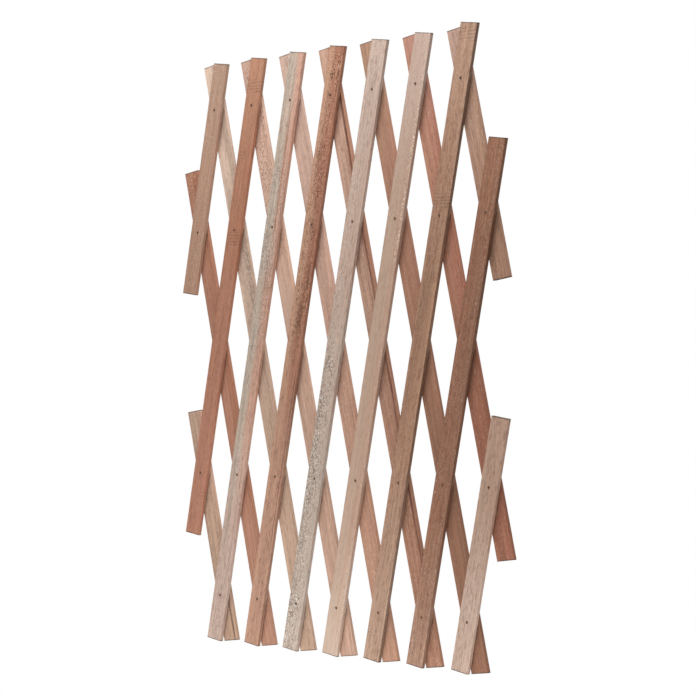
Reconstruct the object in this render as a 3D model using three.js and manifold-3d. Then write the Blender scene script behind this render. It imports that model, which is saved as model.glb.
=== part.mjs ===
// Expanding trellis: two layers of sawn hardwood laths, crossed and riveted into a lattice that opens
// and closes like a pair of scissors. Millimetres, +Z up. The wall is behind it, towards +Y, and the
// origin is on the wall, at the flat tail of the middle rivet of the top row, from which it hangs.

import * as THREE from 'three';
import { mergeVertices } from 'three/addons/utils/BufferGeometryUtils.js';
import Module from 'manifold-3d';

// The lattice. A crossing lies on a row, counted from the top, and a whole number of steps to the
// right of the middle line. Crossings of neighbouring rows are one step apart.
const ROWS = 5;
const STEPS_TO_SIDE = 7;
const REST_HALF_ANGLE = THREE.MathUtils.degToRad(12.75); // each lath's lean from upright, as displayed
const MIDDLE_ROW = (ROWS + 1) / 2; // the laths only cross there, with no rivet

// A lath
const LATH_LENGTH = 800; // of a lath that crosses every row, down its middle
const LATH_WIDTH = 27;
const LATH_THICKNESS = 5;
const ARRIS = 0.4; // the sawn edges are rubbed down this much
const END_OVERHANG = 63; // past the top or the bottom row
const SIDE_OVERHANG = 86.5; // past the last crossing of a lath that stops at a side
const LAYER_GAP = 1.5; // rough laths don't lie tight on each other
const FOLDED_GAP = 0.3; // between neighbouring laths of a layer with the trellis folded
const CUT_UNEVENLY = { // the laths that aren't cut to the exact length, and by how much
  front_lath_7: { top: 4 },
  front_lath_8: { top: 4 },
  back_lath_8: { bottom: 3 },
  back_lath_9: { bottom: -4 },
};
const HOLE_SIDES = 12;
const DRILL_OVERRUN = 1; // the drill passes both faces by this much

// A rivet: a shank with a low domed head in front and a hammered tail behind
const SHANK_RADIUS = 1.2;
const HOLE_CLEARANCE = 0.3; // between the shank and the hole's wall
const HEAD_COVER = 0.3; // from the hole's edge to the head's rim
const HEAD_HEIGHT = 0.9;
const TAIL_COVER = 0.5; // from the hole's edge to the tail's rim
const TAIL_HEIGHT = 0.8;
const SEAT_GAP = 0.15; // between the head, or the tail, and the lath that it holds
const RIVET_SIDES = 12;

// Worked out from the sizes above
const PIVOT_PITCH = (LATH_LENGTH - 2 * END_OVERHANG) / (ROWS - 1); // along a lath, row to row
const HOLE_RADIUS = SHANK_RADIUS + HOLE_CLEARANCE;
const HEAD_RADIUS = HOLE_RADIUS + HEAD_COVER;
const TAIL_RADIUS = HOLE_RADIUS + TAIL_COVER;
const BACK_LAYER_Y = -(TAIL_HEIGHT + SEAT_GAP); // the wall side of the back laths
const FRONT_LAYER_Y = BACK_LAYER_Y - LATH_THICKNESS - LAYER_GAP; // the wall side of the front laths
const HEAD_SEAT_Y = FRONT_LAYER_Y - LATH_THICKNESS - SEAT_GAP;
const STEP = PIVOT_PITCH * Math.sin(REST_HALF_ANGLE); // one step across
const ROW_DROP = PIVOT_PITCH * Math.cos(REST_HALF_ANGLE); // one row down

// Folded, the laths of a layer lie edge to edge, and their ends were trimmed level like that, so each
// end is off square by the half angle of the folded lattice.
const FOLDED_HALF_ANGLE = Math.asin((LATH_WIDTH + FOLDED_GAP) / PIVOT_PITCH) / 2;
const TRIM = (LATH_WIDTH / 2) * Math.tan(FOLDED_HALF_ANGLE);

// Wood as it comes from the saw, no two laths from the same board, and dull steel
function sawnWood(color) {
  return new THREE.MeshStandardMaterial({ color, roughness: 0.85, metalness: 0 });
}
const paleWood = sawnWood('#c2a898');
const greyWood = sawnWood('#af9080');
const tanWood = sawnWood('#a98670');
const salmonWood = sawnWood('#bf8a6c');
const redWood = sawnWood('#aa745c');
const darkWood = sawnWood('#96705b');
const steel = new THREE.MeshStandardMaterial({ color: '#5b5350', roughness: 0.55, metalness: 0.8 });

const frontWoods = [greyWood, redWood, paleWood, redWood, paleWood, paleWood, tanWood, darkWood, paleWood];
const backWoods = [tanWood, redWood, paleWood, tanWood, salmonWood, salmonWood, tanWood, salmonWood, tanWood];

// A front lath leans right at its top, so it moves a step left at each row down. A back lath leans
// left and moves a step right. Laths are numbered from the left in each layer.
function listCrossings() {
  const crossings = [];
  for (let row = 1; row <= ROWS; row += 1) {
    let number = 0;
    for (let step = -STEPS_TO_SIDE; step <= STEPS_TO_SIDE; step += 1) {
      if ((row + step) % 2 === 0) continue;
      number += 1;
      crossings.push({
        row,
        number,
        x: step * STEP,
        z: (1 - row) * ROW_DROP,
        front: (row + step + STEPS_TO_SIDE) / 2,
        back: (step - row + STEPS_TO_SIDE + ROWS + 1) / 2,
      });
    }
  }
  return crossings;
}

const wasm = await Module();
wasm.setup();

function toSolid(geometry) {
  const bare = geometry.clone();
  bare.deleteAttribute('normal');
  bare.deleteAttribute('uv');
  const merged = mergeVertices(bare);
  return new wasm.Manifold(new wasm.Mesh({
    numProp: 3,
    vertProperties: merged.attributes.position.array,
    triVerts: Uint32Array.from(merged.index.array),
  }));
}

function toGeometry(solid) {
  const mesh = solid.getMesh();
  const geometry = new THREE.BufferGeometry();
  geometry.setAttribute('position', new THREE.BufferAttribute(mesh.vertProperties, 3));
  geometry.setIndex(new THREE.BufferAttribute(mesh.triVerts, 1));
  geometry.computeVertexNormals();
  return geometry;
}

// A lath lies in its own frame with its wall side at y = 0 and its top crossing at z = 0. Its outline
// has the trimmed ends, and the bevel of the extrusion rubs down its edges.
function lathBlank(top, bottom, trim) {
  const half = LATH_WIDTH / 2;
  const outline = new THREE.Shape([
    new THREE.Vector2(-half, bottom - trim),
    new THREE.Vector2(half, bottom + trim),
    new THREE.Vector2(half, top + trim),
    new THREE.Vector2(-half, top - trim),
  ]);
  const blank = new THREE.ExtrudeGeometry(outline, {
    depth: LATH_THICKNESS - 2 * ARRIS,
    bevelEnabled: true,
    bevelThickness: ARRIS,
    bevelSize: ARRIS,
    bevelOffset: -ARRIS,
    bevelSegments: 1,
  });
  blank.translate(0, 0, ARRIS);
  blank.rotateX(Math.PI / 2);
  return blank;
}

function overhang(row, outerRow) {
  return row === outerRow ? END_OVERHANG : SIDE_OVERHANG;
}

function lathGeometry(name, rows, trim) {
  const firstRow = rows[0];
  const lastRow = rows[rows.length - 1];
  const longer = { top: 0, bottom: 0, ...CUT_UNEVENLY[name] };
  const top = overhang(firstRow, 1) + longer.top;
  const bottom = (firstRow - lastRow) * PIVOT_PITCH - overhang(lastRow, ROWS) - longer.bottom;
  let solid = toSolid(lathBlank(top, bottom, trim));
  const drillLength = LATH_THICKNESS + 2 * DRILL_OVERRUN;
  for (const row of rows) {
    if (row === MIDDLE_ROW) continue;
    const drill = new THREE.CylinderGeometry(HOLE_RADIUS, HOLE_RADIUS, drillLength, HOLE_SIDES);
    drill.translate(0, -LATH_THICKNESS / 2, (firstRow - row) * PIVOT_PITCH);
    solid = solid.subtract(toSolid(drill));
  }
  return toGeometry(solid);
}

// One layer of laths. lean is +1 for the front layer and -1 for the back one.
function layOutLayer(side, crossings, lean, woods) {
  const layer = new THREE.Group();
  const last = Math.max(...crossings.map((crossing) => crossing[side]));
  for (let number = 1; number <= last; number += 1) {
    const along = crossings.filter((crossing) => crossing[side] === number);
    const rows = along.map((crossing) => crossing.row);
    const name = `${side}_lath_${number}`;
    const wood = woods[(number - 1) % woods.length];
    const lath = new THREE.Mesh(lathGeometry(name, rows, lean * TRIM), wood);
    lath.name = name;
    lath.position.set(along[0].x, 0, along[0].z);
    lath.rotation.y = lean * REST_HALF_ANGLE;
    layer.add(lath);
  }
  return layer;
}

// The rivet's half section, from the middle of its flat tail round to the top of its domed head, as
// radius and distance from the wall
function rivetGeometry() {
  const tailFlatShare = 0.7;
  const tailEdgeShare = 0.5;
  const headRimShare = 0.3;
  const domeRadiusShare = 0.65;
  const domeHeightShare = 0.8;
  const section = [
    new THREE.Vector2(0, 0),
    new THREE.Vector2(TAIL_RADIUS * tailFlatShare, 0),
    new THREE.Vector2(TAIL_RADIUS, -TAIL_HEIGHT * tailEdgeShare),
    new THREE.Vector2(TAIL_RADIUS, -TAIL_HEIGHT),
    new THREE.Vector2(SHANK_RADIUS, -TAIL_HEIGHT),
    new THREE.Vector2(SHANK_RADIUS, HEAD_SEAT_Y),
    new THREE.Vector2(HEAD_RADIUS, HEAD_SEAT_Y),
    new THREE.Vector2(HEAD_RADIUS, HEAD_SEAT_Y - HEAD_HEIGHT * headRimShare),
    new THREE.Vector2(HEAD_RADIUS * domeRadiusShare, HEAD_SEAT_Y - HEAD_HEIGHT * domeHeightShare),
    new THREE.Vector2(0, HEAD_SEAT_Y - HEAD_HEIGHT),
  ];
  return toGeometry(toSolid(new THREE.LatheGeometry(section.reverse(), RIVET_SIDES)));
}

const crossings = listCrossings();

const frontLayer = layOutLayer('front', crossings, 1, frontWoods);
frontLayer.position.y = FRONT_LAYER_Y;

const backLayer = layOutLayer('back', crossings, -1, backWoods);
backLayer.position.y = BACK_LAYER_Y;

const rivets = new THREE.Group();
const oneRivet = rivetGeometry();
for (const { row, number, x, z } of crossings) {
  if (row === MIDDLE_ROW) continue;
  const rivet = new THREE.Mesh(oneRivet, steel);
  rivet.name = `rivet_row${row}_${number}`;
  rivet.position.set(x, 0, z);
  rivet.rotation.y = REST_HALF_ANGLE;
  rivets.add(rivet);
}

const trellis = new THREE.Group();
trellis.add(backLayer, frontLayer, rivets);

export default trellis;
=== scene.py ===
import math
from functools import partial

import bpy
from mathutils import Euler, Matrix, Vector


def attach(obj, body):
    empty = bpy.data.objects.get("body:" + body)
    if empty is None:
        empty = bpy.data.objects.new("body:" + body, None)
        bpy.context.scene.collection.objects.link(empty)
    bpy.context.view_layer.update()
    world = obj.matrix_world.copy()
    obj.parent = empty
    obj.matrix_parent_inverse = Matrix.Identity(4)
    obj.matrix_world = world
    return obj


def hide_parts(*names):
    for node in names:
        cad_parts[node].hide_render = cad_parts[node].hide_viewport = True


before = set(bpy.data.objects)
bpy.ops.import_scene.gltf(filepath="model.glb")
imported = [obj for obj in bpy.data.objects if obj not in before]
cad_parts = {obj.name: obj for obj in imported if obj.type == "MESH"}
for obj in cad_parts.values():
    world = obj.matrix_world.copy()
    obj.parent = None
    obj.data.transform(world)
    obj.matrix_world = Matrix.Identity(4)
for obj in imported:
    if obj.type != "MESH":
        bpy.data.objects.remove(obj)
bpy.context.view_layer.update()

# The camera
# The photograph was taken with a long lens from the right of the trellis, level with its middle.
# Its place, turn and lens come from fitting the edges of the laths. Lengths are in metres.
PHOTO_SIDE_PX = 696
FOCAL_LENGTH_PX = 2104.34
SENSOR_MM = 36
CAMERA_PLACE = Vector((1.9111, -1.9115, -0.3229))
CAMERA_YAW = math.radians(44.777)
CAMERA_TILT = math.radians(90 - 0.039)
CAMERA_ROLL = math.radians(-0.680)

camera_data = bpy.data.cameras.new("camera")
camera_data.sensor_width = SENSOR_MM
camera_data.lens = FOCAL_LENGTH_PX / PHOTO_SIDE_PX * SENSOR_MM
camera = bpy.data.objects.new("camera", camera_data)
camera.matrix_world = (
    Matrix.Translation(CAMERA_PLACE)
    @ Matrix.Rotation(CAMERA_YAW, 4, "Z")
    @ Matrix.Rotation(CAMERA_TILT, 4, "X")
    @ Matrix.Rotation(CAMERA_ROLL, 4, "Z")
)
bpy.context.scene.collection.objects.link(camera)
bpy.context.scene.camera = camera
bpy.context.scene.view_settings.view_transform = "Standard"


# The background
# White all round for the camera and in reflections, and a weak even light from it on the wood.
BACKGROUND_WHITE = "#ffffff"
BACKGROUND_LEVEL = 1
AMBIENT_COLOUR = "#fbfaf8"
AMBIENT_LEVEL = 0.08


def linear(hex_colour):
    """The linear colour that a socket takes, from an sRGB hex colour."""
    channels = [int(hex_colour[i : i + 2], 16) / 255 for i in (1, 3, 5)]
    return [c / 12.92 if c <= 0.04045 else ((c + 0.055) / 1.055) ** 2.4 for c in channels] + [1]


def add_node(tree, kind, *values, named=None, **settings):
    """Adds a node with its settings and links. Values go to its inputs in their order, and those in
    named go to the inputs with these identifiers. A node given as a value stands for its output."""
    node = tree.nodes.new(kind)
    for name, value in settings.items():
        setattr(node, name, value)
    sockets = list(zip(node.inputs, values))
    for identifier, value in (named or {}).items():
        sockets.append((next(s for s in node.inputs if s.identifier == identifier), value))
    for socket, value in sockets:
        if isinstance(value, bpy.types.Node):
            value = next(s for s in value.outputs if s.enabled)
        if isinstance(value, bpy.types.NodeSocket):
            tree.links.new(value, socket)
        else:
            socket.default_value = value
    return node


world = bpy.data.worlds.new("white_room")
bpy.context.scene.world = world
world.use_nodes = True
world.node_tree.nodes.clear()
room = partial(add_node, world.node_tree)
ray = room("ShaderNodeLightPath").outputs
seen = room("ShaderNodeMath", ray["Is Camera Ray"], ray["Is Glossy Ray"], operation="MAXIMUM")
seen = room("ShaderNodeMath", seen, ray["Is Transmission Ray"], operation="MAXIMUM")
as_light = room("ShaderNodeBackground", linear(AMBIENT_COLOUR), AMBIENT_LEVEL)
as_picture = room("ShaderNodeBackground", linear(BACKGROUND_WHITE), BACKGROUND_LEVEL)
room("ShaderNodeOutputWorld", room("ShaderNodeMixShader", seen, as_light, as_picture))


# The lamps
# Two long soft strips lie across the front, one above the trellis and one below it, which makes its
# top and bottom a little brighter than its middle. A soft lamp overhead lights what faces up, and
# leaves the edges that face down darker. A broad one behind lights the back.
LAMPS = {
    "upper_strip": {
        "place": (0.06, -0.46, 0.59), "aim": (0, 0, -0.02), "long": 1.7, "wide": 0.25, "watts": 9.7},
    "lower_strip": {
        "place": (0.12, -0.45, -1.05), "aim": (0, 0, -0.68), "long": 1.8, "wide": 0.25, "watts": 6.8},
    "overhead": {
        "place": (0.2, -0.25, 2.2), "aim": (0, 0, -0.33), "long": 1.0, "wide": 1.0, "watts": 76},
    "behind": {
        "place": (0.4, 2.4, 0.7), "aim": (0, 0, -0.33), "long": 2.0, "wide": 2.0, "watts": 55},
}

for lamp_name, lamp in LAMPS.items():
    lamp_data = bpy.data.lights.new(lamp_name, "AREA")
    lamp_data.shape = "RECTANGLE"
    lamp_data.size = lamp["long"]
    lamp_data.size_y = lamp["wide"]
    lamp_data.energy = lamp["watts"]
    lamp_object = bpy.data.objects.new(lamp_name, lamp_data)
    lamp_object.visible_camera = False
    lamp_object.location = lamp["place"]
    beam = Vector(lamp["aim"]) - Vector(lamp["place"])
    lamp_object.rotation_euler = beam.to_track_quat("-Z", "Y").to_euler()
    bpy.context.scene.collection.objects.link(lamp_object)


# The floor
# A plain pale disc on the ground under the hanging trellis, out of the photograph's frame. To the
# camera it glows more and more towards its rim, where it runs into the white background.
FLOOR_DROP = 1.6
FLOOR_RADIUS = 2.8
FLOOR_SIDES = 96
FLOOR_COLOUR = "#eeeeec"
FLOOR_GLOW = 0.16
RIM_GLOW = 1.0
GLOW_FROM_SHARE = 0.4

floor_mesh = bpy.data.meshes.new("floor")
floor_turns = [math.tau * side / FLOOR_SIDES for side in range(FLOOR_SIDES)]
floor_rim = [
    (FLOOR_RADIUS * math.cos(turn), FLOOR_RADIUS * math.sin(turn), -FLOOR_DROP) for turn in floor_turns
]
floor_mesh.from_pydata(floor_rim, [], [range(FLOOR_SIDES)])
floor = bpy.data.objects.new("floor", floor_mesh)
bpy.context.scene.collection.objects.link(floor)

floor_paint = bpy.data.materials.new("matt_white_floor_paint")
floor_paint.use_nodes = True
floor_paint.node_tree.nodes.clear()
coat = partial(add_node, floor_paint.node_tree)
matt = coat("ShaderNodeBsdfDiffuse", linear(FLOOR_COLOUR))
at_floor = coat("ShaderNodeTexCoord").outputs["Object"]
at_floor = coat("ShaderNodeVectorMath", at_floor, (1, 1, 0), operation="MULTIPLY")
out_from_middle = coat("ShaderNodeVectorMath", at_floor, operation="LENGTH").outputs["Value"]
glow_level = coat("ShaderNodeMapRange", out_from_middle, GLOW_FROM_SHARE * FLOOR_RADIUS, FLOOR_RADIUS,
                  FLOOR_GLOW, RIM_GLOW, interpolation_type="SMOOTHSTEP")
to_camera = coat("ShaderNodeLightPath").outputs["Is Camera Ray"]
glow_level = coat("ShaderNodeMath", to_camera, glow_level, operation="MULTIPLY")
glow = coat("ShaderNodeEmission", linear(BACKGROUND_WHITE), glow_level)
coat("ShaderNodeOutputMaterial", coat("ShaderNodeAddShader", matt, glow))
floor_mesh.materials.append(floor_paint)


# The front laths
# Nine laths of light red meranti, ripped from the board with a circular saw and left rough, with
# their edges just rubbed down. They lean right at the top and are riveted in front of the others.
ROWS = 5  # of crossings, counted from the top
MIDDLE_ROW = 3  # has no rivets
STEPS_TO_SIDE = 7  # from the middle of the lattice, crossings of neighbouring rows being a step apart
LATHS_IN_LAYER = 9
LATH_LEAN = math.radians(12.75)
LATH_LENGTH = 0.800  # of one that crosses every row
LATH_WIDTH = 0.027
LATH_THICKNESS = 0.005
LATH_ARRIS = 0.0004
END_OVERHANG = 0.063  # past the top or the bottom row
SIDE_OVERHANG = 0.0865  # past the last crossing of one that stops at a side
LAYER_GAP = 0.0015
FOLDED_GAP = 0.0003  # between neighbours of a layer with the trellis folded
CUT_UNEVENLY = {
    "front_lath_7": {"top": 0.004},
    "front_lath_8": {"top": 0.004},
    "back_lath_8": {"bottom": 0.003},
    "back_lath_9": {"bottom": -0.004},
}
RIVET_HOLE_RADIUS = 0.0015
TAIL_HEIGHT = 0.0008  # of a rivet, behind the back laths
SEAT_GAP = 0.00015  # between the lath and the rivet's tail or head

PIVOT_PITCH = (LATH_LENGTH - 2 * END_OVERHANG) / (ROWS - 1)
STEP = PIVOT_PITCH * math.sin(LATH_LEAN)
BACK_LAYER_Y = -(TAIL_HEIGHT + SEAT_GAP)
FRONT_LAYER_Y = BACK_LAYER_Y - LATH_THICKNESS - LAYER_GAP
# The ends were trimmed level with the trellis folded, so they are off square by its lean then.
TRIM_SLOPE = math.tan(math.asin((LATH_WIDTH + FOLDED_GAP) / PIVOT_PITCH) / 2)

# How rough the saw left them, in metres. Its marks are narrow cuts with broad ridges between them, one
# to a pitch, and waver by a share of the pitch. They come in chance patches, which fade in over a part
# of the noise they follow, and in strong ones, which fade out between two shares of their half length.
SAW_MARK_PITCH = 0.0042
SAW_MARK_DEPTH = 0.00016
SAW_MARK_SLANT = 0.12
SAW_MARK_SHARPNESS = 4
SAW_WOBBLE_SHARE = 0.5
SAW_PATCH_HALF = 0.009
SAW_PATCH_FADE_SHARES = (1.2, 0.8)
SAW_PATCH_BLEND = 0.10
TORN_GRAIN_DEPTH = 0.00010
EDGE_WANDER = 0.0002
END_TEAR = 0.0009

# The mesh is a grid of cells on each side. Each pattern has the size of its own cells across, through
# and along the lath, and its detail.
CELL_LENGTH = 0.0013
CELLS_ACROSS = 12
CELLS_THROUGH = 3
ON_FACE_MARGIN = 0.0001  # a point of the blank that is this near to a face lies on it
SHARP_EDGE = math.radians(20)
DRILL_SIDES = 24
DRILL_LENGTH_SHARE = 2  # of the thickness
SAWN_PATTERNS = {
    "patch": {"cell": (0.030, 0.030, 0.055), "detail": 1},
    "wobble": {"cell": (0.020, 0.020, 0.012), "detail": 2},
    "torn": {"cell": (0.0035, 0.0035, 0.016), "detail": 2},
    "wander": {"cell": (0.028, 0.004, 0.085), "detail": 2},
    "tear": {"cell": (0.0022, 0.0022, 0.0400), "detail": 2},
}


def new_tree(name, inputs):
    """A Geometry Nodes tree with named inputs, and the sockets that hand them on by name."""
    tree = bpy.data.node_groups.new(name, "GeometryNodeTree")
    tree.interface.new_socket("Geometry", in_out="OUTPUT", socket_type="NodeSocketGeometry")
    for input_name, kind in inputs.items():
        tree.interface.new_socket(input_name, in_out="INPUT", socket_type=f"NodeSocket{kind}")
    return tree, tree.nodes.new("NodeGroupInput").outputs


def riveted_rows(node, given):
    """A point at each riveted row of a lath, from its first row to its last."""
    down = node("ShaderNodeMath", given["Rivet Pitch"], -1, operation="MULTIPLY")
    down = node("ShaderNodeCombineXYZ", named={"Z": down})
    rows = node("GeometryNodeMeshLine", named={"Count": given["Rows"], "Offset": down})
    row = node("ShaderNodeMath", node("GeometryNodeInputIndex"), 1, operation="ADD")
    bare = node("FunctionNodeCompare", named={"A_INT": row, "B_INT": given["Bare Row"]},
                data_type="INT", operation="EQUAL")
    for end_row, comparison in ((given["First Row"], "LESS_THAN"), (given["Last Row"], "GREATER_THAN")):
        past = node("FunctionNodeCompare", named={"A_INT": row, "B_INT": end_row},
                    data_type="INT", operation=comparison)
        bare = node("FunctionNodeBooleanMath", bare, past, operation="OR")
    return node("GeometryNodeDeleteGeometry", rows, bare)


def sawn_lath_tree():
    """A lath from its sizes: a closed box with rubbed edges, ends cut at a slope, saw marks and torn
    grain that only go inwards, and a hole for each rivet."""
    tree, given = new_tree("sawn_lath", {
        "Top": "Float", "Bottom": "Float", "Width": "Float", "Thickness": "Float", "Arris": "Float",
        "Trim Slope": "Float", "Saw Pitch": "Float", "Saw Depth": "Float", "Saw Slant": "Float",
        "Chance Patches From": "Float", "Upper Patch": "Float", "Lower Patch": "Float",
        "Patch Half": "Float", "Torn Depth": "Float", "Edge Wander": "Float", "End Tear": "Float",
        "Cell Length": "Float", "Cells Across": "Int", "Cells Through": "Int",
        "Rivet Pitch": "Float", "Rows": "Int", "First Row": "Int", "Last Row": "Int", "Bare Row": "Int",
        "Hole Radius": "Float", "Place": "Vector", "Lean": "Float", "Seed": "Float", "Material": "Material",
    })
    node = partial(add_node, tree)

    # The blank is a cube of cells from -1 to 1 each way.
    length = node("ShaderNodeMath", given["Top"], given["Bottom"], operation="SUBTRACT")
    both_ends = node("ShaderNodeMath", given["Top"], given["Bottom"], operation="ADD")
    middle = node("ShaderNodeMath", both_ends, 0.5, operation="MULTIPLY")
    cells_along = node("ShaderNodeMath", length, given["Cell Length"], operation="DIVIDE")
    lines_across = node("ShaderNodeMath", given["Cells Across"], 1, operation="ADD")
    lines_through = node("ShaderNodeMath", given["Cells Through"], 1, operation="ADD")
    blank = node("GeometryNodeMeshCube", (2, 2, 2), lines_across, lines_through, cells_along)

    # The outermost line of cells on each face becomes the rubbed edge.
    at = node("GeometryNodeInputPosition")
    spreads = []
    for cells in (given["Cells Across"], given["Cells Through"], cells_along):
        inner_cells = node("ShaderNodeMath", cells, 2, operation="SUBTRACT")
        spreads.append(node("ShaderNodeMath", cells, inner_cells, operation="DIVIDE"))
    spread = node("ShaderNodeCombineXYZ", *spreads)
    inner = node("ShaderNodeVectorMath", at, spread, operation="MULTIPLY")
    inner = node("ShaderNodeVectorMath", inner, (-1, -1, -1), operation="MAXIMUM")
    inner = node("ShaderNodeVectorMath", inner, (1, 1, 1), operation="MINIMUM")
    size = node("ShaderNodeCombineXYZ", given["Width"], given["Thickness"], length)
    half = node("ShaderNodeVectorMath", size, (0.5, 0.5, 0.5), operation="MULTIPLY")
    arris = node("ShaderNodeCombineXYZ", given["Arris"], given["Arris"], given["Arris"])
    core = node("ShaderNodeVectorMath", half, arris, operation="SUBTRACT")
    core = node("ShaderNodeVectorMath", inner, core, operation="MULTIPLY")
    outermost = node("ShaderNodeVectorMath", at, operation="ABSOLUTE")
    outermost = node("ShaderNodeVectorMath", outermost, (ON_FACE_MARGIN,) * 3, operation="ADD")
    outermost = node("ShaderNodeVectorMath", outermost, operation="FLOOR")
    outwards = node("ShaderNodeVectorMath", at, operation="SIGN")
    outwards = node("ShaderNodeVectorMath", outermost, outwards, operation="MULTIPLY")
    outwards = node("ShaderNodeVectorMath", outwards, operation="NORMALIZE")

    patterns = {}
    for pattern_name, pattern in SAWN_PATTERNS.items():
        cells = node("ShaderNodeVectorMath", core, pattern["cell"], operation="DIVIDE")
        patterns[pattern_name] = node("ShaderNodeTexNoise", cells, given["Seed"], 1, pattern["detail"],
                                      noise_dimensions="4D")

    # The saw marks run crosswise at a slant, in chance patches and in one or two strong ones.
    grain = node("ShaderNodeSeparateXYZ", core).outputs
    along = node("ShaderNodeMath", grain["Z"], middle, operation="ADD")
    full_patch = node("ShaderNodeMath", given["Chance Patches From"], SAW_PATCH_BLEND, operation="ADD")
    patch = node("ShaderNodeMapRange", patterns["patch"], given["Chance Patches From"], full_patch)
    for patch_place in (given["Upper Patch"], given["Lower Patch"]):
        away = node("ShaderNodeMath", along, patch_place, operation="SUBTRACT")
        away = node("ShaderNodeMath", away, operation="ABSOLUTE")
        away = node("ShaderNodeMath", away, given["Patch Half"], operation="DIVIDE")
        placed = node("ShaderNodeMapRange", away, *SAW_PATCH_FADE_SHARES)
        patch = node("ShaderNodeMath", patch, placed, operation="MAXIMUM")
    slanted = node("ShaderNodeMath", grain["X"], given["Saw Slant"], grain["Z"], operation="MULTIPLY_ADD")
    turns = node("ShaderNodeMath", slanted, given["Saw Pitch"], operation="DIVIDE")
    turns = node("ShaderNodeMath", patterns["wobble"], SAW_WOBBLE_SHARE, turns, operation="MULTIPLY_ADD")
    ripple = node("ShaderNodeMath", turns, math.tau, operation="MULTIPLY")
    ripple = node("ShaderNodeMath", ripple, operation="SINE")
    ripple = node("ShaderNodeMath", ripple, 0.5, 0.5, operation="MULTIPLY_ADD")
    ripple = node("ShaderNodeMath", ripple, SAW_MARK_SHARPNESS, operation="POWER")
    ripple = node("ShaderNodeMath", ripple, patch, operation="MULTIPLY")

    # The edges wander a little along the lath, and the fibres broke out of the ends.
    facing = node("ShaderNodeVectorMath", outwards, operation="ABSOLUTE")
    facing = node("ShaderNodeSeparateXYZ", facing).outputs
    depth = node("ShaderNodeMath", ripple, given["Saw Depth"], operation="MULTIPLY")
    for pattern_name, most, share in (
        ("torn", given["Torn Depth"], 1),
        ("wander", given["Edge Wander"], facing["X"]),
        ("tear", given["End Tear"], facing["Z"]),
    ):
        here = node("ShaderNodeMath", most, share, operation="MULTIPLY")
        depth = node("ShaderNodeMath", patterns[pattern_name], here, depth, operation="MULTIPLY_ADD")
    out = node("ShaderNodeMath", given["Arris"], depth, operation="SUBTRACT")
    skin = node("ShaderNodeVectorMath", outwards, named={"Scale": out}, operation="SCALE")
    place = node("ShaderNodeVectorMath", core, skin, operation="ADD")
    place = node("ShaderNodeSeparateXYZ", place).outputs
    level = node("ShaderNodeMath", place["X"], given["Trim Slope"], place["Z"], operation="MULTIPLY_ADD")
    level = node("ShaderNodeMath", level, middle, operation="ADD")
    shaped = node("ShaderNodeCombineXYZ", place["X"], place["Y"], level)
    marked = node("GeometryNodeStoreNamedAttribute", blank.outputs["Mesh"],
                  named={"Name": "saw_marks", "Value": ripple}, data_type="FLOAT", domain="POINT")
    body = node("GeometryNodeSetPosition", marked, named={"Position": shaped})

    # A hole is drilled at each riveted row.
    drill_length = node("ShaderNodeMath", given["Thickness"], DRILL_LENGTH_SHARE, operation="MULTIPLY")
    drill = node("GeometryNodeMeshCylinder", named={
        "Vertices": DRILL_SIDES, "Radius": given["Hole Radius"], "Depth": drill_length})
    drill = node("GeometryNodeTransform", drill.outputs["Mesh"],
                 named={"Rotation": Euler((math.radians(90), 0, 0))})
    drills = node("GeometryNodeInstanceOnPoints", named={
        "Points": riveted_rows(node, given), "Instance": drill})
    drills = node("GeometryNodeRealizeInstances", drills)
    drilled = node("GeometryNodeMeshBoolean", named={"Mesh 1": body, "Mesh 2": drills},
                   operation="DIFFERENCE", solver="MANIFOLD")

    # It is laid in its place in the lattice.
    turn = node("ShaderNodeCombineXYZ", named={"Y": given["Lean"]})
    laid = node("GeometryNodeTransform", drilled.outputs["Mesh"],
                named={"Translation": given["Place"], "Rotation": turn})
    smooth = node("GeometryNodeSetShadeSmooth", laid, named={"Shade Smooth": True}, domain="FACE")
    bend = node("GeometryNodeInputMeshEdgeAngle").outputs["Unsigned Angle"]
    sharp = node("ShaderNodeMath", bend, SHARP_EDGE, operation="GREATER_THAN")
    edged = node("GeometryNodeSetShadeSmooth", smooth, sharp, named={"Shade Smooth": False}, domain="EDGE")
    realized = node("GeometryNodeRealizeInstances", edged)
    finished = node("GeometryNodeSetMaterial", realized, named={"Material": given["Material"]})
    node("NodeGroupOutput", finished)
    return tree


def made_by(tree, name, values):
    """A plain mesh object made by a tree with these values for its named inputs."""
    start_mesh = bpy.data.meshes.new(name + "_start")
    maker = bpy.data.objects.new(name + "_start", start_mesh)
    bpy.context.scene.collection.objects.link(maker)
    modifier = maker.modifiers.new("made", "NODES")
    modifier.node_group = tree
    sockets = [item for item in tree.interface.items_tree if item.in_out == "INPUT"]
    identifiers = {socket.name: socket.identifier for socket in sockets}
    for input_name, value in values.items():
        modifier[identifiers[input_name]] = value
    depsgraph = bpy.context.evaluated_depsgraph_get()
    mesh = bpy.data.meshes.new_from_object(
        maker.evaluated_get(depsgraph), preserve_all_data_layers=True, depsgraph=depsgraph)
    mesh.name = name
    maker.modifiers.remove(modifier)
    bpy.data.objects.remove(maker)
    piece = bpy.data.objects.new(name, mesh)
    bpy.context.scene.collection.objects.link(piece)
    return piece


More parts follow.
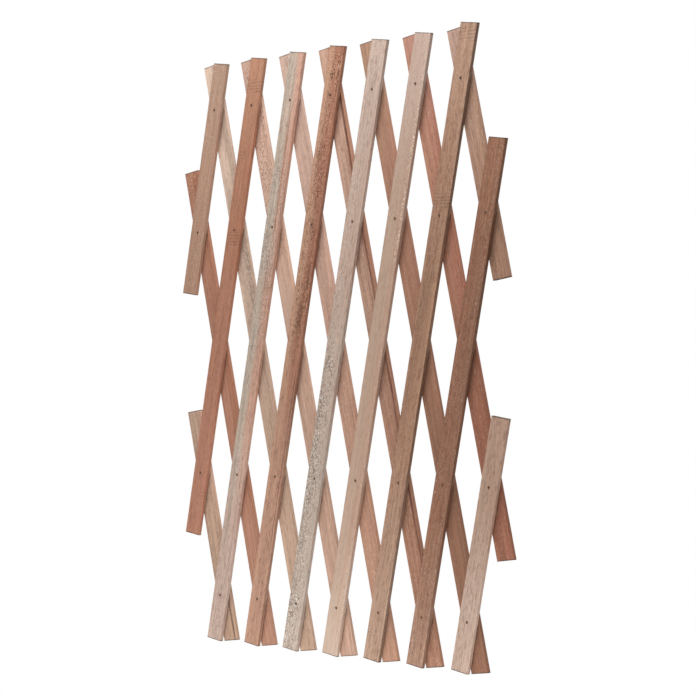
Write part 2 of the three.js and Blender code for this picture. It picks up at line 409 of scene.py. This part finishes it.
# Rough-sawn light red meranti: pinkish to red brown, paler and greyer where it has weathered, matt.
# To the eye it has long growth streaks, open pores as short dark dashes along the grain, and, where
# the saw tore the grain, dark pits with pale lifted fibres between them at a slant. The pores and
# pits are a fifth to a half of a millimetre wide on the real wood and are drawn several times as
# wide, because finer ones don't show in the render. Each pattern has the size of its cells across,
# through and along the grain, its detail, its slant in degrees, and the noise it shows from and to.
MM = 0.001
WOOD_PATTERNS = {
    "growth": {"cell_mm": (4.2, 4.2, 190), "detail": 3, "slant": 0, "from": 0.25, "to": 0.75},
    "streaks": {"cell_mm": (1.5, 1.5, 46), "detail": 2, "slant": 0, "from": 0.25, "to": 0.75},
    "patches": {"cell_mm": (11, 11, 42), "detail": 1, "slant": 0, "from": 0.38, "to": 0.62},
    "pores": {"cell_mm": (1.4, 1.4, 8), "detail": 0, "slant": 2, "from": 0.56, "to": 0.70},
    "pits": {"cell_mm": (1.3, 1.3, 2.2), "detail": 0, "slant": 14, "from": 0.50, "to": 0.64},
    "fibres": {"cell_mm": (1.3, 1.3, 3.0), "detail": 0, "slant": 24, "from": 0.52, "to": 0.66},
}
PORE_COLOUR = "#6b4535"

# The grain drifts from straight by a slow noise with cells of this size. The line between two tones
# follows it by this many half widths, and the change of tone to the ends by a share of the length.
DRIFT_MM = (16, 16, 150)
TONE_LINE_DRIFT = 2.2
END_TONE_DRIFT_SHARE = 0.3

# The rubbed edges, and the painted shade: a dark line along the cut ends
RUBBED_MM = 0.7
RUBBED_BLEND_MM = 0.2
PAINTED_END_SHADE = 0.8
PAINTED_END_SHADE_MM = 2.0
FULL_END_SHADE_SHARE = 0.3

# Torn grain fades out along and across the lath, and is weakest between its patches. The fibres that
# only the right edge has come in between these shares of the half width.
TORN_FADES_MM = {"Z": 25, "X": 3}
LEAST_TORN_SHARE = 0.5
EDGE_FIBRE_SHARES = (0.45, 0.8)

# A crack is full over these shares of its width and of its length, and fades out from there. Where
# the streaks are weak it breaks up, down to the least share.
CRACK_CORE_SHARE = 0.4
CRACK_FULL_LENGTH_SHARE = 0.7
CRACK_BREAK_SHARES = (0.2, 0.8)
LEAST_CRACK_SHARE = 0.4

# The relief of the marks that are too fine for the mesh, and how matt the wood is
RELIEF_DEPTH = 0.0002
RELIEF_STRENGTH = 0.7
STREAK_RISE = 0.5
FIBRE_RISE = 0.8
WOOD_ROUGHNESS = 0.82
WOOD_SPECULAR = 0.3


def distance_from_middle(node, place, span):
    """How far a place lies from the middle of a span."""
    away = node("ShaderNodeMath", place, sum(span) / 2, operation="SUBTRACT")
    return node("ShaderNodeMath", away, operation="ABSOLUTE")


def crack_share(node, crack, grain, height, shows):
    """How much of a crack shows. It runs along the grain and strays with the growth streaks."""
    wide = crack["wide"]
    off_line = node("ShaderNodeSeparateXYZ", grain).outputs["X"]
    off_line = node("ShaderNodeMath", off_line, crack["at"], operation="SUBTRACT")
    off_line = node("ShaderNodeMath", shows["growth"], wide, off_line, operation="MULTIPLY_ADD")
    off_line = node("ShaderNodeMath", off_line, operation="ABSOLUTE")
    line = node("ShaderNodeMapRange", off_line, wide, CRACK_CORE_SHARE * wide,
                interpolation_type="SMOOTHSTEP")
    lower, upper = crack["span"]
    half_span = (upper - lower) / 2
    away = distance_from_middle(node, height, crack["span"])
    within = node("ShaderNodeMapRange", away, half_span, CRACK_FULL_LENGTH_SHARE * half_span)
    broken = node("ShaderNodeMapRange", shows["streaks"], *CRACK_BREAK_SHARES, LEAST_CRACK_SHARE, 1)
    line = node("ShaderNodeMath", line, within, operation="MULTIPLY")
    return node("ShaderNodeMath", line, broken, operation="MULTIPLY")


def sawn_meranti(
    name, place, lean, ends, seed, heart, sap, foot, head=None, sap_from=0.2, blend=0.3,
    foot_span=(0.2, 0.8), head_span=(0.3, 0.0), wave=2.0, growth=0.14, streaks=0.10, pores=0.3,
    pits=0.15, pit_colour="#4c3c34", fibres=0.15, fibre_colour="#e6ddd2", edge_fibres=0.0,
    torn_span=None, torn_across=None, calm=0.25, saw=0.3, painted_edge_shading=1.0, cracks=(),
):
    """The wood of one lath. heart is its tone on the left and sap the one on the right, which meet at
    sap_from of the half width, give or take blend. Both run into foot and into head, the tones of its
    ends, from the first to the second of the shares of the length in foot_span and head_span, which
    count from the top. wave is the swing of the grain in millimetres. torn_span gives the heights
    between which the grain is torn and torn_across where across the lath, both in millimetres, and
    calm is the share of it that is left outside them. edge_fibres are the lifted fibres that come on
    top of fibres at the right side. edge is painted shade on the narrow sides and on the rubbed
    strips beside them, a factor on their tone against the faces: below 1 it paints them darker, and
    above 1 it paints light on them. cracks are lines along the grain, whose places, widths and spans
    are in millimetres. The others say how strongly each mark shows."""
    material = bpy.data.materials.new(name)
    material.use_nodes = True
    material.node_tree.nodes.clear()
    node = partial(add_node, material.node_tree)

    # Distances in millimetres from the middle of the lath at the top row, z along the grain
    objects = node("ShaderNodeTexCoord").outputs["Object"]
    board = node("ShaderNodeMapping", objects, place, (0, lean, 0), (MM, MM, MM), vector_type="TEXTURE")
    drift = node("ShaderNodeVectorMath", board, DRIFT_MM, operation="DIVIDE")
    drift = node("ShaderNodeTexNoise", drift, seed, 1, 1, noise_dimensions="4D")
    drift = node("ShaderNodeMath", drift, 0.5, operation="SUBTRACT")
    sway = node("ShaderNodeMath", drift, 2 * wave, operation="MULTIPLY")
    grain = node("ShaderNodeVectorMath", board, node("ShaderNodeCombineXYZ", sway, sway), operation="ADD")

    shows = {}
    for offset, (pattern_name, pattern) in enumerate(WOOD_PATTERNS.items()):
        cells = node("ShaderNodeMapping", grain, (0, 0, 0), (0, math.radians(pattern["slant"]), 0),
                     pattern["cell_mm"], vector_type="TEXTURE")
        noise = node("ShaderNodeTexNoise", cells, seed + offset / len(WOOD_PATTERNS), 1, pattern["detail"],
                     noise_dimensions="4D")
        shows[pattern_name] = node("ShaderNodeMapRange", noise, pattern["from"], pattern["to"],
                                   interpolation_type="SMOOTHSTEP")

    # The two tones meet along a line that wanders with the grain, and fade into those at the ends.
    at = node("ShaderNodeSeparateXYZ", board).outputs
    half_width = LATH_WIDTH / MM / 2
    side = node("ShaderNodeMath", at["X"], half_width, operation="DIVIDE")
    side = node("ShaderNodeMath", drift, TONE_LINE_DRIFT, side, operation="MULTIPLY_ADD")
    sap_share = node("ShaderNodeMapRange", side, sap_from - blend, sap_from + blend,
                     interpolation_type="SMOOTHSTEP")
    top, bottom = (end / MM for end in ends)
    end_tone_drift = END_TONE_DRIFT_SHARE * (top - bottom)
    reach = node("ShaderNodeMath", drift, end_tone_drift, at["Z"], operation="MULTIPLY_ADD")
    tones = [(sap_share, 1, sap)]
    for tone, span in ((foot, foot_span), (head, head_span)):
        if tone:
            fade_from, fade_to = (top + share * (bottom - top) for share in span)
            tone_share = node("ShaderNodeMapRange", reach, fade_from, fade_to,
                              interpolation_type="SMOOTHSTEP")
            tones.append((tone_share, 1, tone))

    # Where the grain is torn, which is nowhere on the rubbed edges
    off_middle = node("ShaderNodeMath", at["X"], operation="ABSOLUTE")
    rim_at = half_width - RUBBED_MM
    rim = node("ShaderNodeMapRange", off_middle, rim_at - RUBBED_BLEND_MM, rim_at + RUBBED_BLEND_MM)
    face = node("ShaderNodeMath", 1, rim, operation="SUBTRACT")
    torn = node("ShaderNodeMapRange", shows["patches"], 0, 1, LEAST_TORN_SHARE, 1)
    torn = node("ShaderNodeMath", torn, face, operation="MULTIPLY")
    for span, axis in ((torn_span, "Z"), (torn_across, "X")):
        if span:
            away = distance_from_middle(node, at[axis], span)
            half_span = (span[1] - span[0]) / 2
            fade = TORN_FADES_MM[axis]
            inside = node("ShaderNodeMapRange", away, half_span + fade, half_span - fade, calm, 1)
            torn = node("ShaderNodeMath", torn, inside, operation="MULTIPLY")
    edge_from, edge_to = (share * half_width for share in EDGE_FIBRE_SHARES)
    lifted = node("ShaderNodeMapRange", at["X"], edge_from, edge_to, fibres, fibres + edge_fibres)
    lifted = node("ShaderNodeMath", torn, lifted, operation="MULTIPLY")
    fibre_share = node("ShaderNodeMath", shows["fibres"], lifted, operation="MULTIPLY")
    pit_share = node("ShaderNodeMath", shows["pits"], torn, operation="MULTIPLY")

    # What shows over the left tone, from the broad to the fine
    layers = tones + [
        (fibre_share, 1, fibre_colour), (pit_share, pits, pit_colour), (shows["pores"], pores, PORE_COLOUR),
    ]
    for crack in cracks:
        layers.append((crack_share(node, crack, grain, at["Z"], shows), crack["shows"], crack["colour"]))
    colour = linear(heart)
    for share, strength, layer_colour in layers:
        factor = node("ShaderNodeMath", share, strength, operation="MULTIPLY")
        colour = node("ShaderNodeMix", data_type="RGBA", named={
            "Factor_Float": factor, "A_Color": colour, "B_Color": linear(layer_colour)})

    # Growth and saw marks make it lighter or darker. Painted shade darkens the narrow sides and the
    # strips beside them, or painted light brightens them, and a painted dark line of shade runs along the
    # cut ends.
    slope = math.copysign(TRIM_SLOPE, lean)
    level = node("ShaderNodeMath", at["X"], -slope, at["Z"], operation="MULTIPLY_ADD")
    to_top = node("ShaderNodeMath", top, level, operation="SUBTRACT")
    to_bottom = node("ShaderNodeMath", level, bottom, operation="SUBTRACT")
    to_end = node("ShaderNodeMath", to_top, to_bottom, operation="MINIMUM")
    # Painted shade: a dark line along the cut ends, full near them and fading out inwards
    painted_end_shade = node("ShaderNodeMapRange", to_end, PAINTED_END_SHADE_MM, FULL_END_SHADE_SHARE * PAINTED_END_SHADE_MM)
    ripple = node("ShaderNodeAttribute", attribute_name="saw_marks").outputs["Fac"]
    light = 1 - growth - streaks
    for mark, change in (
        (shows["growth"], 2 * growth), (shows["streaks"], 2 * streaks), (ripple, -saw), (rim, painted_edge_shading - 1),
        (painted_end_shade, -PAINTED_END_SHADE),
    ):
        light = node("ShaderNodeMath", mark, change, light, operation="MULTIPLY_ADD")
    toned = node("ShaderNodeVectorMath", colour, named={"Scale": light}, operation="SCALE")

    height = 0
    for mark, rise in (
        (shows["streaks"], STREAK_RISE), (shows["pores"], -pores), (pit_share, -pits),
        (fibre_share, FIBRE_RISE),
    ):
        height = node("ShaderNodeMath", mark, rise, height, operation="MULTIPLY_ADD")
    relief = node("ShaderNodeBump", named={
        "Height": height, "Strength": RELIEF_STRENGTH, "Distance": RELIEF_DEPTH})
    shader = node("ShaderNodeBsdfPrincipled", named={
        "Base Color": toned, "Roughness": WOOD_ROUGHNESS, "Specular IOR Level": WOOD_SPECULAR,
        "Normal": relief})
    node("ShaderNodeOutputMaterial", shader)
    return material


lath_tree = sawn_lath_tree()
lath_sizes = {
    "Width": LATH_WIDTH, "Thickness": LATH_THICKNESS, "Arris": LATH_ARRIS, "Saw Pitch": SAW_MARK_PITCH,
    "Saw Depth": SAW_MARK_DEPTH, "Patch Half": SAW_PATCH_HALF,
    "Torn Depth": TORN_GRAIN_DEPTH, "Edge Wander": EDGE_WANDER, "End Tear": END_TEAR,
    "Cell Length": CELL_LENGTH, "Cells Across": CELLS_ACROSS, "Cells Through": CELLS_THROUGH,
    "Rivet Pitch": PIVOT_PITCH, "Rows": ROWS, "Bare Row": MIDDLE_ROW, "Hole Radius": RIVET_HOLE_RADIUS,
}
# Noise hardly ever comes up to this level, and these heights are far off the lath.
NO_SAW_MARKS = {"from": 0.85, "upper": 9000, "lower": 9000}


def crossed_rows(number, side):
    """The first and last row that a lath crosses, and where it crosses the top row. A front lath
    moves a step left at each row down and a back lath a step right, and both stop at the sides."""
    if side == "front":
        steps = {row: 2 * number - STEPS_TO_SIDE - row for row in range(1, ROWS + 1)}
    else:
        steps = {row: 2 * number - STEPS_TO_SIDE - ROWS - 1 + row for row in range(1, ROWS + 1)}
    inside = [row for row, step in steps.items() if abs(step) <= STEPS_TO_SIDE]
    return inside[0], inside[-1], steps[1] * STEP


def lay_lath(side, number, lean, layer_y, finish):
    """Makes one lath in its place, gives it its wood and puts it on its body. marks in its finish
    gives the noise from which it has chance patches of saw marks, and the heights of an upper and a
    lower strong patch, in millimetres from the top row."""
    first_row, last_row, x_at_top_row = crossed_rows(number, side)
    name = f"{side}_lath_{number}"
    longer = {"top": 0, "bottom": 0} | CUT_UNEVENLY.get(name, {})
    top_overhang = END_OVERHANG if first_row == 1 else SIDE_OVERHANG
    bottom_overhang = END_OVERHANG if last_row == ROWS else SIDE_OVERHANG
    top = (1 - first_row) * PIVOT_PITCH + top_overhang + longer["top"]
    bottom = (1 - last_row) * PIVOT_PITCH - bottom_overhang - longer["bottom"]
    place = Vector((x_at_top_row, layer_y - LATH_THICKNESS / 2, 0))
    seed = number + (LATHS_IN_LAYER if side == "back" else 0)
    marks = NO_SAW_MARKS | finish.get("marks", {})
    look = {key: value for key, value in finish.items() if key != "marks"}
    wood = sawn_meranti(f"sawn_meranti_{name}", place, lean, (top, bottom), seed, **look)
    lath = made_by(lath_tree, f"sawn_{name}", lath_sizes | {
        "Top": top, "Bottom": bottom, "Trim Slope": math.copysign(TRIM_SLOPE, lean),
        "Saw Slant": -math.copysign(SAW_MARK_SLANT, lean),
        "First Row": first_row, "Last Row": last_row, "Place": place, "Lean": lean, "Seed": float(seed),
        "Chance Patches From": marks["from"], "Upper Patch": marks["upper"] * MM,
        "Lower Patch": marks["lower"] * MM, "Material": wood,
    })
    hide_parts(name)
    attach(lath, name)


# The finishes, from the lath at the left
# A finish's edge is painted shade on the narrow sides of its lath and the rubbed strips beside them where
# it is below 1, and painted light where it is above 1.
FRONT_FINISHES = [
    # Plain tan
    {"heart": "#b18d77", "sap": "#b18c78", "foot": "#b08973", "head": "#ac8c77",
     "growth": 0.08, "pores": 0.15},
    # Red, with crosswise saw marks by its first two rivets
    {"heart": "#ac785e", "sap": "#aa7359", "foot": "#b27c65", "head": "#b28167",
     "growth": 0.09, "pores": 0.25, "pits": 0.15, "fibres": 0.07,
     "marks": {"from": 0.62, "upper": 25, "lower": -181}, "saw": 0.34},
    # Weathered grey, pink on its right, with a short crack near the top
    {"heart": "#beac9c", "sap": "#c69a86", "foot": "#bfa597", "sap_from": 0.15, "blend": 0.5,
     "foot_span": (0.55, 0.9), "growth": 0.13, "streaks": 0.12, "pits": 0.38, "fibres": 0.35,
     "torn_span": (-330, -80), "calm": 0.45,
     "cracks": [{"at": 5.5, "wide": 2.0, "span": (-190, 0), "shows": 0.7, "colour": "#96543e"}]},
    # Red and badly torn in its upper half, with dark cracks
    {"heart": "#ba9077", "sap": "#a6735c", "foot": "#b78e78", "sap_from": -0.1,
     "foot_span": (0.4, 0.8), "growth": 0.15, "pores": 0.4, "pits": 0.8, "pit_colour": "#5e3a2c",
     "fibres": 0.6, "fibre_colour": "#cda68b", "torn_span": (-330, 70), "torn_across": (-9, 16),
     "calm": 0.3, "painted_edge_shading": 0.8,
     "cracks": [{"at": 9.0, "wide": 2.5, "span": (-255, -215), "shows": 0.75, "colour": "#4a3026"},
                {"at": 4.0, "wide": 5.0, "span": (-310, -270), "shows": 0.5, "colour": "#5a382a"},
                {"at": 11.0, "wide": 1.5, "span": (-620, -330), "shows": 0.7, "colour": "#6a3626"}]},
    # Pale, and torn down the left of its lower half
    {"heart": "#c2a797", "sap": "#c3a695", "foot": "#bba99b", "head": "#c2aa9c",
     "growth": 0.08, "streaks": 0.08, "pits": 0.64, "fibres": 0.8, "torn_span": (-760, -340),
     "torn_across": (-16, 5), "calm": 0.28, "painted_edge_shading": 0.9},
    # Smooth and pale, with lifted fibres down its right edge at the top
    {"heart": "#bc9f8c", "sap": "#bb9985", "foot": "#c5ad9b", "head": "#bda395",
     "foot_span": (0.75, 1.0), "growth": 0.05, "streaks": 0.05, "pores": 0.15, "fibres": 0.12,
     "fibre_colour": "#e4d0bb", "edge_fibres": 1.3, "torn_span": (-210, 70), "calm": 0.3,
     "painted_edge_shading": 0.9},
    # Brown, with strong saw marks at the top and above the second rivet
    {"heart": "#a37b63", "sap": "#a88067", "foot": "#b08f7a", "head": "#aa8771",
     "foot_span": (0.6, 0.95), "growth": 0.17, "pores": 0.4, "pits": 0.15, "fibres": 0.1,
     "marks": {"from": 0.66, "upper": 52, "lower": -150}, "saw": 0.33, "painted_edge_shading": 0.6},
    # The darkest, with the most pores
    {"heart": "#92654e", "sap": "#8e644e", "foot": "#a4806b", "head": "#986a51",
     "foot_span": (0.7, 0.97), "growth": 0.14, "streaks": 0.13, "pores": 0.45, "pits": 0.2,
     "fibres": 0.12, "painted_edge_shading": 0.75},
    # Grey brown, paler at the foot
    {"heart": "#af907d", "sap": "#ad8d7a", "foot": "#b99f8f", "head": "#b49380", "sap_from": 0.1,
     "growth": 0.07, "streaks": 0.09, "pores": 0.38, "fibres": 0.06, "painted_edge_shading": 1.2},
]
for number, finish in enumerate(FRONT_FINISHES, 1):
    lay_lath("front", number, LATH_LEAN, FRONT_LAYER_Y, finish)


# The back laths
# Nine more laths from the same saw and the same mixed boards, the front ones turned over: they lean
# left at the top and lie behind, towards the wall. Their finishes are listed from the left too.
BACK_FINISHES = [
    # Pale, with a dark crack at the foot
    {"heart": "#bf9e88", "sap": "#c7a18b", "foot": "#b2927b", "growth": 0.16, "pores": 0.25,
     "pits": 0.2,
     "cracks": [{"at": 9.0, "wide": 2.2, "span": (-745, -640), "shows": 0.95, "colour": "#462e20"}]},
    # Red, torn at the top, with saw marks above its first rivet
    {"heart": "#b07e68", "sap": "#a6725a", "foot": "#b1846e", "foot_span": (0.6, 0.95),
     "growth": 0.12, "pores": 0.2, "pits": 0.6, "pit_colour": "#73432f", "fibres": 0.9,
     "fibre_colour": "#d2a588", "torn_span": (-185, 0), "calm": 0.15,
     "marks": {"from": 0.68, "upper": -110, "lower": -150}, "saw": 0.25},
    # The palest, torn on its right between the second row and the third
    {"heart": "#d4b8a5", "sap": "#bba08e", "foot": "#bd9d87", "pores": 0.25, "pits": 0.6,
     "fibres": 0.4, "torn_span": (-330, -150), "torn_across": (2, 16), "calm": 0.3},
    # Pale pink with wavy grain, torn at the top
    {"heart": "#cdaa97", "sap": "#cca791", "foot": "#be9a86", "head": "#c29f8d", "wave": 7.0,
     "growth": 0.16, "pores": 0.2, "pits": 0.55, "pit_colour": "#7a4632", "fibres": 0.5,
     "fibre_colour": "#dcc0ae", "torn_span": (-195, 70), "calm": 0.12},
    # Pale pink, redder at the foot
    {"heart": "#c6a190", "sap": "#cca592", "foot": "#b68971", "head": "#c6a696",
     "growth": 0.13, "pores": 0.2},
    # Tan on the left and red on the right, with a crack down its whole length
    {"heart": "#bc9682", "sap": "#a47761", "foot": "#a1745d", "sap_from": 0.45, "growth": 0.17,
     "cracks": [{"at": 11.0, "wide": 2.3, "span": (-720, 120), "shows": 0.85, "colour": "#56291f"},
                {"at": 9.6, "wide": 1.5, "span": (-150, 10), "shows": 0.6, "colour": "#5a3628"}]},
    # Brown, and dark at the foot
    {"heart": "#aa7c65", "sap": "#ae7d66", "foot": "#8e644e", "head": "#ac856d",
     "growth": 0.12, "pores": 0.15, "fibres": 0.06},
    # Red, and dark at the foot
    {"heart": "#b6836b", "sap": "#a8705a", "foot": "#97614b", "head": "#b2816f",
     "growth": 0.14, "pores": 0.25, "fibres": 0.1},
    # Tan, browner at the foot
    {"heart": "#b6917d", "sap": "#af8a73", "foot": "#a77f68", "head": "#b49384",
     "growth": 0.16, "fibres": 0.1},
]
for number, finish in enumerate(BACK_FINISHES, 1):
    lay_lath("back", number, -LATH_LEAN, BACK_LAYER_Y, finish)


# The rivets
# Thirty soft steel rivets, cut from wire and closed with a hammer: a low domed head in front, a
# shank through both laths, and a flattened tail behind. They are dull and a little rusty.
SHANK_RADIUS = 0.0012
HEAD_RADIUS = 0.0018
HEAD_HEIGHT = 0.0009
TAIL_RADIUS = 0.0020
RIVET_SIDES = 24
RIVET_RINGS = 60
DENT_DEPTH = 0.00012
DENTS_PER_METRE = 900
HANGING_LATH = 4  # the front lath whose top rivet the trellis hangs from

HEAD_SEAT_Y = FRONT_LAYER_Y - LATH_THICKNESS - SEAT_GAP
RIVET_LENGTH = HEAD_HEIGHT - HEAD_SEAT_Y

# The profiles of the tail and of the head, each point as shares of the height, counted from the wall,
# and of the radius
TAIL_PROFILE_SHARES = [(0, 0.62), (0.35, 0.92), (0.7, 1), (1, 0.96)]
HEAD_PROFILE_SHARES = [(0, 1), (0.35, 0.94), (0.7, 0.66), (0.93, 0.30), (1, 0.12)]


def rivet_tree():
    """A lath's row of rivets: each one a wire turned to the profile of head, shank and tail."""
    tree, given = new_tree("rivets", {
        "Length": "Float", "Tail Radius": "Float", "Sides": "Int", "Rings": "Int", "Dents": "Float",
        "Rivet Pitch": "Float", "Rows": "Int", "First Row": "Int", "Last Row": "Int", "Bare Row": "Int",
        "Place": "Vector", "Lean": "Float", "Seed": "Float", "Material": "Material",
    })
    node = partial(add_node, tree)

    forward = node("ShaderNodeMath", given["Length"], -1, operation="MULTIPLY")
    tip = node("ShaderNodeCombineXYZ", named={"Y": forward})
    wire = node("GeometryNodeCurvePrimitiveLine", named={"End": tip})
    wire = node("GeometryNodeResampleCurve", named={"Curve": wire, "Count": given["Rings"]})
    along = node("GeometryNodeSplineParameter").outputs["Factor"]
    profile = node("ShaderNodeFloatCurve", named={"Value": along})
    # From the tail to the shank, and from it to the head, the profile steps within one ring.
    head_at = -HEAD_SEAT_Y / RIVET_LENGTH
    tail_at = TAIL_HEIGHT / RIVET_LENGTH
    one_ring = 1 / RIVET_RINGS
    shank = SHANK_RADIUS / TAIL_RADIUS
    head = HEAD_RADIUS / TAIL_RADIUS
    outline = [(out * tail_at, wide) for out, wide in TAIL_PROFILE_SHARES]
    outline += [(tail_at + one_ring, shank), (head_at - one_ring, shank)]
    outline += [(head_at + out * (1 - head_at), wide * head) for out, wide in HEAD_PROFILE_SHARES]
    curve = profile.mapping.curves[0]
    while len(curve.points) < len(outline):
        curve.points.new(*outline[len(curve.points)])
    for point, place in zip(curve.points, outline):
        point.location = place
        point.handle_type = "VECTOR"
    profile.mapping.update()
    radius = node("ShaderNodeMath", profile, given["Tail Radius"], operation="MULTIPLY")
    ring = node("GeometryNodeCurvePrimitiveCircle", named={"Resolution": given["Sides"], "Radius": 1.0})
    turned = node("GeometryNodeCurveToMesh", named={
        "Curve": wire, "Profile Curve": ring, "Scale": radius, "Fill Caps": True})

    rivets = node("GeometryNodeInstanceOnPoints", named={
        "Points": riveted_rows(node, given), "Instance": turned})
    realized = node("GeometryNodeRealizeInstances", rivets)

    # The hammer and the die left flats and dents, which only go inwards.
    dents = node("ShaderNodeTexNoise", named={"W": given["Seed"], "Scale": DENTS_PER_METRE, "Detail": 1},
                 noise_dimensions="4D")
    inwards = node("ShaderNodeMath", dents, given["Dents"], operation="MULTIPLY")
    inwards = node("ShaderNodeMath", inwards, -1, operation="MULTIPLY")
    dent = node("ShaderNodeVectorMath", node("GeometryNodeInputNormal"), named={"Scale": inwards},
                operation="SCALE")
    dented = node("GeometryNodeSetPosition", realized, named={"Offset": dent})
    turn = node("ShaderNodeCombineXYZ", named={"Y": given["Lean"]})
    laid = node("GeometryNodeTransform", dented, named={"Translation": given["Place"], "Rotation": turn})
    smooth = node("GeometryNodeSetShadeSmooth", laid, named={"Shade Smooth": True}, domain="FACE")
    joined = node("GeometryNodeRealizeInstances", smooth)
    finished = node("GeometryNodeSetMaterial", joined, named={"Material": given["Material"]})
    node("NodeGroupOutput", finished)
    return tree


# Drawn mild steel wire gone dull. To the eye it is a small dark grey brown dot with a bloom of rust,
# and has hardly a glint, because the rusty skin is rough and hides most of the metal. The bloom is
# drawn in spots of a millimetre and a half, because the finer rust of the real one doesn't show.
DULL_STEEL_COLOUR = "#533e32"
RUST_COLOUR = "#6a4835"
BLOOMS_PER_METRE = 700
RUST_FROM = 0.45
RUST_TO = 0.65
LEAST_ROUGHNESS = 0.55
MOST_ROUGHNESS = 0.85
BLOOM_DEPTH = 0.00005
BLOOM_STRENGTH = 0.5
DULL_METALLIC = 0.3


def rivet_steel():
    """The steel of all the rivets."""
    material = bpy.data.materials.new("dull_mild_steel")
    material.use_nodes = True
    material.node_tree.nodes.clear()
    node = partial(add_node, material.node_tree)
    objects = node("ShaderNodeTexCoord").outputs["Object"]
    bloom = node("ShaderNodeTexNoise", named={"Vector": objects, "Scale": BLOOMS_PER_METRE, "Detail": 3})
    rusty = node("ShaderNodeMapRange", bloom, RUST_FROM, RUST_TO)
    colour = node("ShaderNodeMix", data_type="RGBA", named={
        "Factor_Float": rusty, "A_Color": linear(DULL_STEEL_COLOUR), "B_Color": linear(RUST_COLOUR)})
    roughness = node("ShaderNodeMapRange", bloom, 0, 1, LEAST_ROUGHNESS, MOST_ROUGHNESS)
    relief = node("ShaderNodeBump", named={
        "Height": bloom, "Strength": BLOOM_STRENGTH, "Distance": BLOOM_DEPTH})
    shader = node("ShaderNodeBsdfPrincipled", named={
        "Base Color": colour, "Metallic": DULL_METALLIC, "Roughness": roughness, "Normal": relief})
    node("ShaderNodeOutputMaterial", shader)
    return material


steel = rivet_steel()
rivets_tree = rivet_tree()
rivet_sizes = {
    "Length": RIVET_LENGTH, "Tail Radius": TAIL_RADIUS, "Sides": RIVET_SIDES, "Rings": RIVET_RINGS,
    "Dents": DENT_DEPTH, "Rivet Pitch": PIVOT_PITCH, "Rows": ROWS, "Bare Row": MIDDLE_ROW,
    "Lean": LATH_LEAN, "Material": steel,
}


def rivet_number(row, lath):
    """Where a rivet of a front lath stands in its row, counted from the left."""
    step = 2 * lath - STEPS_TO_SIDE - row
    leftmost = -STEPS_TO_SIDE + (row + STEPS_TO_SIDE + 1) % 2
    return (step - leftmost) // 2 + 1


def set_rivets(name, lath, first_row, last_row, body):
    """Makes the rivets of a front lath between two rows and puts them on a body."""
    x_at_top_row = crossed_rows(lath, "front")[2]
    rivets = made_by(rivets_tree, name, rivet_sizes | {
        "First Row": first_row, "Last Row": last_row, "Place": Vector((x_at_top_row, 0, 0)),
        "Seed": float(lath),
    })
    rows = [row for row in range(first_row, last_row + 1) if row != MIDDLE_ROW]
    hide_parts(*[f"rivet_row{row}_{rivet_number(row, lath)}" for row in rows])
    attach(rivets, body)


# The rivet that the trellis hangs from is a body of its own. The others ride on their front laths.
for lath in range(1, LATHS_IN_LAYER + 1):
    first_row, last_row, _ = crossed_rows(lath, "front")
    if lath == HANGING_LATH:
        first_row += 1
    set_rivets(f"rivets_of_front_lath_{lath}", lath, first_row, last_row, f"front_lath_{lath}")
set_rivets("hanging_wire_rivet", HANGING_LATH, 1, 1, "hanging_rivet")
